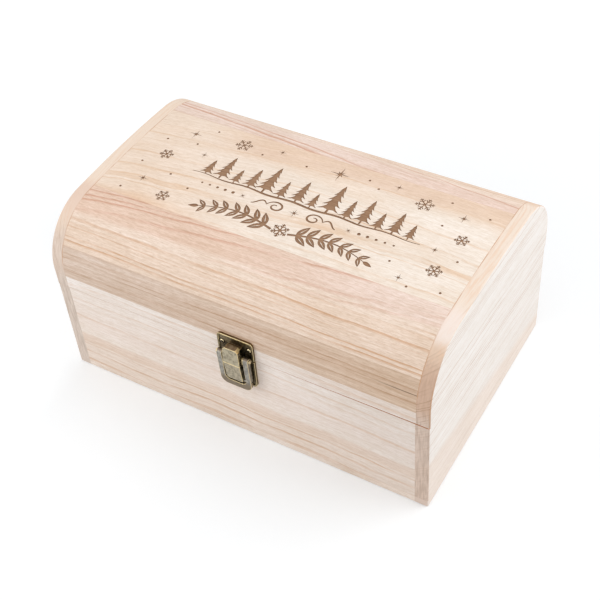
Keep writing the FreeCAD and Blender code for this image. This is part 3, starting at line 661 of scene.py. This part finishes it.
def bronze(name, deep, pale, ridge=None, brown_below=None):
    """Antique bronze: patina in hollows, painted shade round the nails, mottled on faces, brass on worn
    edges.

    Deep and pale are the tones of its faces. A ridge is the height of a crease across the piece, worn to
    brass and painted with a highlight; brown_below is the height under which the patina is browner. Faces
    that look up are browner too.
    """
    upper_brown, lower_brown, worn_brass = srgb(112, 84, 60), srgb(124, 107, 84), srgb(234, 213, 164)
    graph = new_material(name)
    x, y, z = graph.place_mm()
    mottle = graph.noise(graph.scaled((x, y, z), MOTTLE), detail=4.0)
    grit = graph.noise(graph.scaled((x, y, z), GRIT), detail=3.0)
    face = graph.mix(graph.step(mottle, 0.35, 0.65), deep, pale)
    face = graph.mix(graph.step(graph.facing(AXIS_Z), 0.5, 0.85, 0.0, 0.6), face, upper_brown)
    if brown_below is not None:
        low = graph.step(z, brown_below - 3.0, brown_below + 3.0, 0.8, 0.0)
        face = graph.mix(low, face, lower_brown)
    sharpness = graph.add(graph.node("NewGeometry").outputs["Pointiness"], graph.times(grit, 0.02))
    worn = graph.times(graph.step(sharpness, 0.514, 0.544), 0.95)
    if ridge is not None:
        # Worn brass along the crease, which also serves as its painted highlight
        ridge_wear_and_highlight = graph.fade(graph.apart(z, ridge), 0.15, 0.75)
        worn = graph.larger(worn, graph.times(ridge_wear_and_highlight, graph.step(mottle, 0.3, 0.5, 0.5, 1.0)))
    hollow = graph.fade(sharpness, 0.46, 0.503)
    # Painted shade round each nail head, on the plate only, in the patina's colour
    ring = graph.fade(nail_distance(graph, x, z), SHADE_RING_FADE, SHADE_RING_END)
    on_plate = graph.step(y, OFF_PLATE_Y, ON_PLATE_Y)
    # Patina in the hollows, and painted shade round the nails
    dark = graph.larger(graph.times(hollow, 0.9), graph.times(ring, on_plate, 0.95))
    colour = graph.mix(dark, face, PATINA)
    return graph.surface(
        Base_Color=graph.mix(worn, colour, worn_brass),
        Metallic=1.0,
        Roughness=graph.add(graph.step(mottle, 0.3, 0.7, 0.34, 0.46), graph.times(worn, -0.1)),
        Normal=graph.bump(grit, 0.03, 0.5))


def nail_bronze(name):
    """Nail heads and rivets: brass worn through on the domes, dark specks between, and a painted dark
    reflection in the middles of the latch nails.
    """
    speck_brown, worn_brass = srgb(138, 120, 90), srgb(236, 219, 178)
    painted_reflection_full, painted_reflection_end = 0.95, 1.25
    graph = new_material(name)
    x, y, z = graph.place_mm()
    specks = graph.noise(graph.scaled((x, y, z), SPECKS), detail=4.0)
    colour = graph.mix(graph.step(specks, 0.3, 0.5), speck_brown, worn_brass)
    # Painted dark reflection in the middle of each latch nail's dome
    middle = graph.step(nail_distance(graph, x, z), painted_reflection_full, painted_reflection_end, 0.97, 0.0)
    return graph.surface(
        Base_Color=graph.mix(middle, colour, PATINA),
        Metallic=1.0,
        Roughness=graph.step(specks, 0.3, 0.7, 0.45, 0.3),
        Normal=graph.bump(specks, 0.04, 0.5))


def drawn_steel(name):
    """Bare wire: grey with fine lines along its length."""
    dark_grey, pale_grey = srgb(120, 116, 110), srgb(184, 180, 172)
    graph = new_material(name)
    lines = graph.noise(graph.scaled(graph.place_mm(), WIRE_LINES), detail=3.0)
    return graph.surface(
        Base_Color=graph.mix(lines, dark_grey, pale_grey),
        Metallic=1.0,
        Roughness=graph.step(lines, 0.2, 0.8, 0.25, 0.45),
        Normal=graph.bump(lines, 0.02, 0.4))


# Engraving: each motif is a list of closed outlines in millimetres on the panel

ENGRAVING_DEPTH = 0.45
CROWN_ROWS = 26
MERGE_DISTANCE = 1e-4

# Firs as x, height and width, on a line of snow
FIRS = [
    (-74, 17, 11), (-62, 26, 14), (-50, 16, 10), (-38, 22, 13), (-26, 30, 16), (-13, 19, 11), (0, 25, 14),
    (12, 16, 10), (25, 32, 17), (39, 21, 12), (51, 27, 14), (63, 18, 11), (75, 24, 13), (87, 16, 10),
]
TALL_FIR = 20
GROUND_Y = -3.0
SNOW_START, SNOW_LENGTH = -84, 181

# The divider of scrolls, stars and dots, and the sprigs below it, on either side of one middle
MIDDLE_X = 6
SCROLL_Y = -12.5
DOTS_Y = -12.0
SPRIG_Y, SPRIG_LENGTH = -33, 58
MIDDLE_FLAKE_Y, MIDDLE_FLAKE_RADIUS = -31.5, 6.6

# Stars as x, y and the length of the long and short rays; flakes as x, y and radius; dots as x and y
STARS = [
    (-106, 34, 5.6, 2.6), (-86, 15, 3.6, 1.9), (-36, 43, 3.8, 2.0), (14, 39, 8.4, 4.0), (58, 44, 4.0, 2.1),
    (112, 33, 5.0, 2.4), (108, -4, 3.8, 2.0), (-112, -26, 4.6, 2.3), (98, -37, 4.0, 2.0),
]
FLAKES = [(-66, 38, 6.8), (82, 35, 7.0), (-112, 4, 5.6), (120, 12, 5.4), (-88, -36, 5.4), (116, -22, 5.8)]
DOTS = [
    (-92, 44), (-48, 34), (-12, 36), (36, 42), (46, 36), (98, 45), (128, 40), (102, 20), (-98, 24),
    (-122, 20), (-124, -10), (-96, -14), (126, -8), (-76, -22), (106, -42), (-122, -40), (128, -38),
    (86, -26),
]
DOT_RADIUS = 0.9


def turned(points, angle, x, y):
    """Points turned by an angle in degrees and moved."""
    cosine, sine = math.cos(math.radians(angle)), math.sin(math.radians(angle))
    return [(x + (px * cosine - py * sine), y + (px * sine + py * cosine)) for px, py in points]


def dot(x, y, radius, sides=14):
    turns = [2 * math.pi * index / sides for index in range(sides)]
    return [[(x + radius * math.cos(turn), y + radius * math.sin(turn)) for turn in turns]]


def star(x, y, long_ray, short_ray, tilt=0.0):
    """Eight rays, long and short by turns."""
    points = []
    for index in range(16):
        turn = math.pi * index / 8
        reach = (long_ray, short_ray)[index // 2 % 2] if index % 2 == 0 else 0.16 * long_ray
        points.append((reach * math.cos(turn), reach * math.sin(turn)))
    return [turned(points, tilt, x, y)]


def bar(length, width):
    half = width / 2
    return [(0.0, -half), (length, -half), (length, half), (0.0, half)]


def snowflake(x, y, radius, width, tilt):
    """Six arms, each with two pairs of branches, about a small middle."""
    branches = ((0.47, 0.36), (0.74, 0.24))
    branch_turn = 58
    outlines = []
    for arm in range(6):
        angle = tilt + 60 * arm
        outlines.append(turned(bar(radius, width), angle, x, y))
        for share, length in branches:
            foot = turned([(share * radius, 0)], angle, x, y)[0]
            for side in (-1, 1):
                branch = bar(length * radius, width * 0.85)
                outlines.append(turned(branch, angle + side * branch_turn, *foot))
    outlines += dot(x, y, width * 1.3, 12)
    return outlines


def stroke(points, widths):
    """Outline of a drawn line of varying width."""
    left, right = [], []
    last = len(points) - 1
    for index, (x, y) in enumerate(points):
        before, after = points[max(index - 1, 0)], points[min(index + 1, last)]
        run = Vector((after[0] - before[0], after[1] - before[1])).normalized()
        half = widths[index] / 2
        left.append((x - run.y * half, y + run.x * half))
        right.append((x + run.y * half, y - run.x * half))
    return [left + right[::-1]]


def fir(x, y, height, width, tiers):
    """A fir tree with drooping tiers and a short trunk."""
    trunk = 0.12 * height
    crown = height - trunk
    right = [(0.05 * width, 0), (0.05 * width, trunk)]
    for tier in range(tiers):
        low = trunk + crown * (tier / tiers) ** 1.05
        reach = width / 2 * (1 - tier / tiers) ** 0.85
        notch = trunk + crown * ((tier + 0.8) / tiers) ** 1.05
        right.append((0.45 * reach, low + 0.02 * crown))
        right.append((0.72 * reach, low - 0.012 * crown))
        right.append((reach, low - 0.03 * crown))
        right.append((0.62 * reach, low + 0.4 * (notch - low)))
        if tier < tiers - 1:
            right.append((0.4 * reach, notch))
    right.append((0.0, height))
    left = [(-px, py) for px, py in reversed(right[:-1])]
    return [turned(right + left, 0, x, y)]


def leaf(x, y, angle, length, width):
    """A pointed leaf from its stalk."""
    count = 9
    upper, lower = [], []
    for index in range(count + 1):
        share = index / count
        half = width / 2 * math.sin(math.pi * share ** 0.8)
        upper.append((share * length, half))
        lower.append((share * length, -half))
    return [turned(upper + lower[-2:0:-1], angle, x, y)]


def rib(x, y, angle, length):
    """The rib of a leaf, left standing."""
    points = [(0.22 * length, 0), (0.4 * length, -0.3), (0.86 * length, 0), (0.4 * length, 0.3)]
    return [turned(points, angle, x, y)]


def scroll(x, y, size, side):
    """A curl that runs out into a tapering tail; side is -1 or 1."""
    points, widths = [], []
    curl_count, tail_count = 34, 14
    curl_start, curl_growth = 1.5, 4.2
    curl_end = 5.7
    for index in range(curl_count + 1):
        share = index / curl_count
        turn = 2.6 * math.pi * (1 - share) ** 1.2
        reach = curl_start + curl_growth * share
        points.append((side * reach * math.cos(turn), reach * math.sin(turn) * 0.8))
        widths.append(0.5 + 0.75 * math.sin(math.pi * share))
    for index in range(1, tail_count + 1):
        share = index / tail_count
        points.append((side * (curl_end + 9 * share), 2.2 * math.sin(1.5 * math.pi * share)))
        widths.append(0.55 + 0.5 * math.sin(math.pi * share))
    points = [(x + size * px, y + size * py) for px, py in points]
    return stroke(points, [size * width for width in widths])


def sprig(x, y, length, side):
    """Half a garland: a bowed stem with paired leaves, and the leaves' ribs; side is -1 or 1."""
    count, pairs = 40, 7
    leaf_turn = 48
    points, widths = [], []
    for index in range(count + 1):
        share = index / count
        points.append((x + side * length * share, y + 7.0 * math.sin(0.9 * math.pi * share) - 3.0 * share))
        widths.append(1.9 - 1.3 * share)
    outlines, ribs = stroke(points, widths), []
    for pair in range(pairs):
        share = 0.1 + 0.82 * pair / (pairs - 1)
        place = round(share * count)
        (ax, ay), (px, py) = points[place - 1], points[place]
        heading = math.degrees(math.atan2(py - ay, px - ax))
        size = 13.0 - 5.0 * share
        for turn in (-leaf_turn, leaf_turn):
            outlines += leaf(px, py, heading + turn, size, size * 0.4)
            ribs += rib(px, py, heading + turn, size)
    outlines += leaf(*points[-1], heading, 8.0, 3.2)
    return outlines, ribs


def snow_line():
    """A wavy line under the firs, thickest in the middle."""
    count = 60
    points, widths = [], []
    for index in range(count + 1):
        points.append((
            SNOW_START + SNOW_LENGTH * index / count,
            GROUND_Y - 0.4 + 0.7 * math.sin(index * 0.52)))
        widths.append(0.4 + 1.5 * math.sin(math.pi * index / count))
    return stroke(points, widths)


def design():
    """Sunk outlines, and outlines left standing in them.

    A wood of firs, a divider and two sprigs, with stars and flakes around.
    """
    outlines, ribs = [], []
    for x, height, width in FIRS:
        outlines += fir(x, GROUND_Y, height, width, tiers=5 if height > TALL_FIR else 4)
    outlines += snow_line()
    for side in (-1, 1):
        outlines += scroll(MIDDLE_X + side * 15, SCROLL_Y, 1.25, side)
        outlines += star(MIDDLE_X + side * 42, DOTS_Y, 3.2, 1.9, tilt=45)
        for index in range(5):
            outlines += dot(MIDDLE_X + side * (50 + 6.5 * index), DOTS_Y, 1.3 - 0.12 * index)
    outlines += star(MIDDLE_X, SCROLL_Y, 4.8, 2.8)
    for side in (-1, 1):
        leaves_cut, ribs_left = sprig(MIDDLE_X + side * 6.5, SPRIG_Y, SPRIG_LENGTH, side)
        outlines += leaves_cut
        ribs += ribs_left
    outlines += snowflake(MIDDLE_X, MIDDLE_FLAKE_Y, MIDDLE_FLAKE_RADIUS, width=1.0, tilt=30)
    for x, y, long_ray, short_ray in STARS:
        outlines += star(x, y, long_ray, short_ray)
    for x, y, radius in FLAKES:
        outlines += snowflake(x, y, radius, width=0.78, tilt=15)
    for x, y in DOTS:
        outlines += dot(x, y, DOT_RADIUS)
    return outlines, ribs


def crown_height(y, radius=CROWN_RADIUS):
    return CROWN_TOP - CROWN_RADIUS + math.sqrt(radius ** 2 - y ** 2)


def inside(x, y, outline):
    """Whether a point lies inside a closed outline, which may cross itself."""
    winding = 0
    for (ax, ay), (bx, by) in zip(outline, outline[1:] + outline[:1]):
        left = (bx - ax) * (y - ay) - (x - ax) * (by - ay)
        if ay <= y < by and left > 0:
            winding += 1
        elif by <= y < ay and left < 0:
            winding -= 1
    return winding != 0


class Outlines:
    """Closed outlines that can be asked whether they cover a point."""

    def __init__(self, loops):
        self.loops = []
        for loop in loops:
            across, up = zip(*loop)
            self.loops.append((min(across), max(across), min(up), max(up), loop))

    def cover(self, x, y):
        return any(
            left < x < right and low < y < high and inside(x, y, loop)
            for left, right, low, high, loop in self.loops)


def triangulate(sunk, standing, rows):
    """Triangles of the panel cut along the outlines and along rows that follow the crown.

    Gives the points, the triangles and, for each triangle, whether it is sunk.
    """
    points, edges = [], []
    for y in rows:
        points += [Vector((-PANEL_HALF, y)), Vector((PANEL_HALF, y))]
        edges.append((len(points) - 2, len(points) - 1))
    for loop in sunk + standing:
        start, count = len(points), len(loop)
        points += [Vector(point) for point in loop]
        edges += [(start + index, start + (index + 1) % count) for index in range(count)]
    found = geometry.delaunay_2d_cdt(points, edges, [], 0, MERGE_DISTANCE)
    places, triangles = found[0], found[2]
    cut, kept = Outlines(sunk), Outlines(standing)
    covered = []
    for triangle in triangles:
        x = sum(places[index].x for index in triangle) / 3
        y = sum(places[index].y for index in triangle) / 3
        covered.append(cut.cover(x, y) and not kept.cover(x, y))
    return places, triangles, covered


def engraved_panel(outlines, ribs, depth):
    """The top panel as one closed mesh, with the outlines sunk into its face."""
    span = PANEL_BACK - PANEL_FRONT
    rows = [PANEL_FRONT + span * index / CROWN_ROWS for index in range(CROWN_ROWS + 1)]
    places, triangles, sunk = triangulate(outlines, ribs, rows)
    top_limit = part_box("lid_top_panel")[1].z
    face_slot, burnt_slot = 0, 1
    shell = bmesh.new()
    vertices = {}

    def vertex(index, level):
        """Vertex of a point on the face, the engraved floor or the underside."""
        if (index, level) not in vertices:
            x, y = places[index]
            if level == "under":
                inner = CROWN_RADIUS - PANEL_THICKNESS
                y = y * inner / CROWN_RADIUS
                z = crown_height(y, inner)
            else:
                z = crown_height(y) - (depth if level == "floor" else 0)
            vertices[index, level] = shell.verts.new((x * MM, y * MM, min(z * MM, top_limit)))
        return vertices[index, level]

    def wall(start, end, low, high, slot):
        """Upright face from one level to another, along one side of a triangle."""
        corners = [vertex(end, low), vertex(start, low), vertex(start, high), vertex(end, high)]
        shell.faces.new(corners).material_index = slot

    sides = {}
    for triangle, low in zip(triangles, sunk):
        level = "floor" if low else "face"
        made = shell.faces.new([vertex(index, level) for index in triangle])
        made.material_index = burnt_slot if low else face_slot
        for start, end in zip(triangle, triangle[1:] + triangle[:1]):
            sides[start, end] = low
    for (start, end), low in sides.items():
        other = sides.get((end, start))
        if low and other is False:
            wall(start, end, "floor", "face", burnt_slot)
        if other is None:
            wall(start, end, "face", "under", face_slot)
    # The underside, row by row
    by_row = {}
    for index, level in vertices:
        if level == "under":
            x, y = places[index]
            by_row.setdefault(round(y, 3), {})[x > 0] = vertices[index, level]
    ordered = [by_row[y] for y in sorted(by_row)]
    for near, far in zip(ordered, ordered[1:]):
        shell.faces.new([near[False], far[False], far[True], near[True]])
    bmesh.ops.recalc_face_normals(shell, faces=shell.faces)
    mesh = bpy.data.meshes.new("lid_top_engraved")
    shell.to_mesh(mesh)
    shell.free()
    panel = bpy.data.objects.new("lid_top_engraved", mesh)
    bpy.context.scene.collection.objects.link(panel)
    return panel


# Dressing of the solids

def dress(names, material):
    for name in names:
        slots = nodes[name].data.materials
        slots.clear()
        slots.append(material)


def soften(name, voxel, rounds):
    """Round the edges of a small cast piece a little."""
    remesh = nodes[name].modifiers.new("fine_mesh", "REMESH")
    remesh.mode = "VOXEL"
    remesh.voxel_size = voxel * MM
    remesh.use_smooth_shade = True
    smooth = nodes[name].modifiers.new("soft_edges", "SMOOTH")
    smooth.factor = 0.5
    smooth.iterations = rounds


dress(["base_front_board", "lid_front_rail"], wall_wood("front_wall_wood", seed=3, figure=1.4))
dress(["base_back_board", "lid_back_rail"], wall_wood("back_wall_wood", seed=12, figure=1.3))
dress(["lid_front_stave"], stave_wood("front_stave_wood", seed=2, crack=True))
dress(["lid_back_stave"], stave_wood("back_stave_wood", seed=5, crack=False))
dress(["lid_front_shoulder"], shoulder_wood(
    "front_shoulder_wood", seed=4, left=srgb(237, 208, 188), right=srgb(243, 221, 208)))
dress(["lid_back_shoulder"], shoulder_wood(
    "back_shoulder_wood", seed=9, left=srgb(243, 221, 208), right=srgb(240, 215, 201)))
dress(["lid_left_end", "base_left_end"], end_wood(
    "left_end_wood",
    seed=6,
    pale=srgb(245, 233, 222),
    base_tone=srgb(225, 208, 195),
    lid_tone=srgb(231, 211, 196),
    turn_tone=srgb(233, 204, 186),
    grain_edge=(0.25, 0.8),
    line_strength=0.75,
    lean=3.0))
dress(["lid_right_end", "base_right_end"], end_wood(
    "right_end_wood",
    seed=7,
    pale=srgb(247, 240, 234),
    base_tone=srgb(221, 197, 180),
    lid_tone=srgb(213, 176, 149),
    turn_tone=srgb(249, 234, 226),
    grain_edge=(0.32, 0.55),
    line_strength=1.05,
    lean=-0.8))
dress(["bottom_board"], bottom_wood("bottom_wood", seed=1))

plates = ["latch_strike_plate", "latch_mount_plate"]
leaves = [f"hinge_{side}_{part}_leaf" for side in ("left", "right") for part in ("base", "lid")]
nails = [f"{kind}_nails" for kind in ("latch_strike", "latch_mount", "hinge_lid", "hinge_base")]
pins = ["hinge_left_pin", "hinge_right_pin", "latch_hook_pin"]
dress(plates, bronze("plate_bronze", deep=srgb(88, 76, 57), pale=srgb(128, 114, 88)))
dress(leaves, bronze("hinge_bronze", deep=srgb(116, 106, 86), pale=srgb(158, 146, 118)))
dress(["latch_lever"], bronze(
    "lever_bronze", deep=srgb(128, 124, 118), pale=srgb(164, 160, 150), brown_below=65.0))
dress(["latch_hook"], bronze(
    "hook_bronze", deep=srgb(140, 131, 112), pale=srgb(182, 172, 148), ridge=82.0))
dress(nails + ["latch_lever_pins"], nail_bronze("nail_bronze"))
dress(pins, drawn_steel("drawn_steel"))
for latch_piece in plates + ["latch_lever", "latch_hook"]:
    soften(latch_piece, voxel=0.17, rounds=5)
for hinge_leaf in leaves:
    soften(hinge_leaf, voxel=0.2, rounds=4)

PANEL_SEED = 11
panel = engraved_panel(*design(), ENGRAVING_DEPTH)
panel.data.materials.append(panel_wood("panel_wood", PANEL_SEED))
panel.data.materials.append(burnt_wood("burnt_wood", PANEL_SEED))
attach(panel, "lid")
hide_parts("lid_top_panel")


# Stage

WORLD_LEVEL = 0.7
FLOOR_HALF = 8.0
FLOOR_Z = -0.0002
FLOOR_COLOUR = (0.8, 0.82, 0.835, 1)
WHITE = (1, 1, 1, 1)

# What the floor adds to its own light where it is seen directly, so that it is an even white
LEFT_GLOW = 0.294
RIGHT_GLOW = 0.19
BESIDE_GLOW = 0.075
HORIZON_GLOW = 0.25


def seen_directly(graph):
    """1 for what the camera sees itself, in gloss or through glass, and 0 for other light."""
    path = graph.node("LightPath").outputs
    seen = graph.larger(path["Is Camera Ray"], path["Is Glossy Ray"])
    return graph.larger(seen, path["Is Transmission Ray"])


def make_floor():
    turns = ((-1, -1), (1, -1), (1, 1), (-1, 1))
    corners = [(FLOOR_HALF * along, FLOOR_HALF * deep, FLOOR_Z) for along, deep in turns]
    mesh = bpy.data.meshes.new("floor")
    mesh.from_pydata(corners, [], [(0, 1, 2, 3)])
    floor = bpy.data.objects.new("floor", mesh)
    bpy.context.scene.collection.objects.link(floor)
    graph = new_material("floor_white")
    cloth = graph.node("BsdfDiffuse")
    cloth.inputs["Color"].default_value = FLOOR_COLOUR
    glow = graph.node("Emission")
    x, y, _ = graph.place_mm()
    sideways = graph.between(graph.even_step(x, -600.0, 300.0), LEFT_GLOW, RIGHT_GLOW)
    to_horizon = graph.step(graph.distance(x, y), 330.0, 1100.0, 0.0, HORIZON_GLOW)
    # A patch beside the left end, where the box shades the floor
    beside = graph.times(
        graph.step(x, -135.0, -165.0),
        graph.step(x, -340.0, -250.0),
        graph.step(y, -190.0, -130.0),
        graph.step(y, 40.0, -40.0),
        BESIDE_GLOW)
    level = graph.add(sideways, to_horizon, beside)
    graph.put(glow.inputs["Strength"], graph.times(seen_directly(graph), level))
    total = graph.fill(graph.node("AddShader"), (cloth.outputs[0], glow.outputs[0]))
    graph.put(graph.node("OutputMaterial").inputs["Surface"], total)
    mesh.materials.append(graph.owner)


def make_world():
    world = bpy.data.worlds.new("studio")
    graph = Graph(world)
    background = graph.node("Background")
    graph.put(background.inputs["Strength"], graph.between(seen_directly(graph), WORLD_LEVEL, 1.0))
    background.inputs["Color"].default_value = WHITE
    graph.put(graph.node("OutputWorld").inputs["Surface"], background.outputs[0])
    bpy.context.scene.world = world


def make_lamp(name, place, target, size, power):
    data = bpy.data.lights.new(name, "AREA")
    data.shape = "SQUARE"
    data.size = size
    data.energy = power
    lamp = bpy.data.objects.new(name, data)
    lamp.location = place
    lamp.rotation_euler = (Vector(target) - Vector(place)).to_track_quat("-Z", "Y").to_euler()
    bpy.context.scene.collection.objects.link(lamp)


def make_camera():
    """Camera above the right front corner, with a small roll."""
    azimuth, elevation, roll = math.radians(33.878), math.radians(44.808), math.radians(-5.265)
    distance = 0.86822
    target = Vector((0.001376, -0.008081, 0.054264))
    focal_pixels, image_width = 1169.37, 600
    data = bpy.data.cameras.new("camera")
    data.sensor_width = 36
    data.lens = focal_pixels / image_width * data.sensor_width
    camera = bpy.data.objects.new("camera", data)
    back = Vector((
        math.sin(azimuth) * math.cos(elevation),
        -math.cos(azimuth) * math.cos(elevation),
        math.sin(elevation)))
    right = Vector((math.cos(azimuth), math.sin(azimuth), 0))
    up = back.cross(right)
    image_right = right * math.cos(roll) + up * math.sin(roll)
    image_up = up * math.cos(roll) - right * math.sin(roll)
    turn = Matrix((image_right, image_up, back)).transposed()
    camera.matrix_world = Matrix.Translation(target + back * distance) @ turn.to_4x4()
    bpy.context.scene.collection.objects.link(camera)
    bpy.context.scene.camera = camera


make_floor()
make_world()
make_lamp("key", place=(0.9, 0.4, 1.0), target=(0, 0, 0.08), size=0.9, power=6.8)
make_lamp("fill", place=(-0.75, -0.7, 0.45), target=(-0.1, -0.1, 0.06), size=0.6, power=3)
make_camera()
bpy.context.scene.view_settings.view_transform = "Standard"
